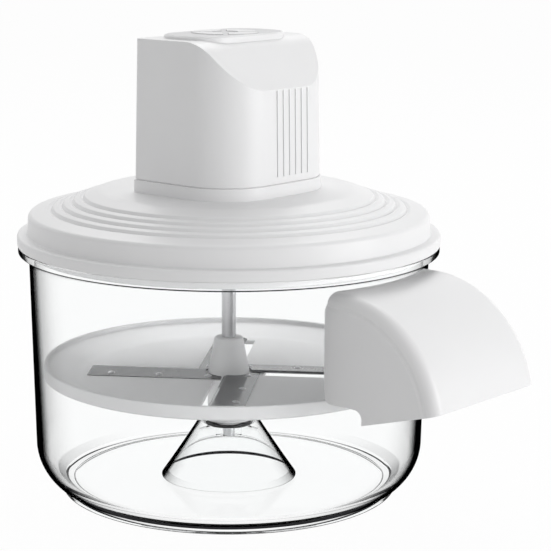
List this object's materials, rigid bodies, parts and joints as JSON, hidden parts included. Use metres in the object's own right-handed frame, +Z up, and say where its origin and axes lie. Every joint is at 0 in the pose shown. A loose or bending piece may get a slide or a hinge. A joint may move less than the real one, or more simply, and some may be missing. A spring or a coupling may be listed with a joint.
{
  "type": "electric fruit peeler",
  "caption": "Countertop electric fruit peeler: clear bowl with a bladed turntable, ridged lid with a motor head, and a hooded outlet chute on the side.",
  "frame": {"origin": "on the bowl's axis, at the table under the foot ring", "axes": "+Z up along the bowl's axis, -Y towards the outlet chute, +X to the right as seen from the chute side"},
  "size_m": [0.295, 0.3652, 0.3204],
  "materials": {
    "white_plastic": "satin moulded plastic",
    "clear_plastic": "clear moulded plastic",
    "blade_steel": "polished blade steel",
    "steel": "turned or pressed steel",
    "brass": "turned brass",
    "soft_seal": "silicone",
    "key_plastic": "matt moulded plastic",
    "panel_grey": "matt moulded plastic",
    "board_green": "circuit board",
    "dark_plastic": "black moulded plastic",
    "gear_plastic": "acetal",
    "magnet_iron": "ferrite and laminated iron"
  },
  "bodies": {
    "bowl_base": {"bowl": "clear_plastic", "centre_cone": "clear_plastic", "spindle_pin": "steel", "thrust_washer": "soft_seal", "chute_hood": "white_plastic"},
    "turntable": {"blade_disc": "white_plastic", "hub_bush": "brass", "blade_1": "blade_steel", "blade_2": "blade_steel", "blade_3": "blade_steel", "blade_4": "blade_steel", "blade_screws": "steel"},
    "lid_head": {"lid": "white_plastic", "lid_seal": "soft_seal", "head_base": "white_plastic", "motor_housing": "white_plastic", "control_panel": "white_plastic", "panel_plate": "panel_grey", "control_board": "board_green", "tact_switches": "dark_plastic", "board_screws": "steel", "upper_bush": "brass", "lower_bush": "brass", "shaft_seal": "soft_seal", "idler_axle": "steel", "motor_plate": "steel", "motor_can": "steel", "motor_magnets": "magnet_iron", "motor_end_cap": "dark_plastic", "power_inlet": "dark_plastic", "inlet_pins": "steel", "housing_screws": "steel", "plate_screws": "steel", "motor_screws": "steel"},
    "output_shaft": {"drive_shaft": "steel", "shaft_clip": "steel", "output_gear": "gear_plastic"},
    "idler": {"idler_gear": "gear_plastic"},
    "rotor": {"rotor_shaft": "steel", "armature": "magnet_iron", "commutator": "brass", "pinion": "steel"},
    "start_button": {"start_key": "key_plastic"},
    "stop_button": {"stop_key": "key_plastic"},
    "slow_button": {"slow_key": "key_plastic"},
    "fast_button": {"fast_key": "key_plastic"}
  },
  "joints": [
    {"name": "disc_spin", "type": "hinge", "parent": "bowl_base", "child": "turntable", "pos_m": [0, 0, 0], "axis": [0, 0, 1], "continuous": true},
    {"name": "lid_lift", "type": "slide", "parent": "bowl_base", "child": "lid_head", "axis": [0, 0, 1], "range_m": [0, 0.25]},
    {"name": "shaft_spin", "type": "hinge", "parent": "lid_head", "child": "output_shaft", "pos_m": [0, 0, 0], "axis": [0, 0, 1], "continuous": true},
    {"name": "idler_spin", "type": "hinge", "parent": "lid_head", "child": "idler", "pos_m": [0.024, 0, 0], "axis": [0, 0, 1], "continuous": true},
    {"name": "rotor_spin", "type": "hinge", "parent": "lid_head", "child": "rotor", "pos_m": [0, 0, 0], "axis": [0, 0, 1], "continuous": true},
    {"name": "start_press", "type": "slide", "parent": "lid_head", "child": "start_button", "axis": [0, 0, -1], "range_m": [0, 0.0008], "stiffness_N_per_m": 600},
    {"name": "stop_press", "type": "slide", "parent": "lid_head", "child": "stop_button", "axis": [0, 0, -1], "range_m": [0, 0.0008], "stiffness_N_per_m": 600},
    {"name": "slow_press", "type": "slide", "parent": "lid_head", "child": "slow_button", "axis": [0, 0, -1], "range_m": [0, 0.0008], "stiffness_N_per_m": 600},
    {"name": "fast_press", "type": "slide", "parent": "lid_head", "child": "fast_button", "axis": [0, 0, -1], "range_m": [0, 0.0008], "stiffness_N_per_m": 600}
  ],
  "couplings": [
    {"joint": "shaft_spin", "follows": "disc_spin", "ratio": 1},
    {"joint": "idler_spin", "follows": "disc_spin", "ratio": -3},
    {"joint": "rotor_spin", "follows": "disc_spin", "ratio": 9}
  ]
}
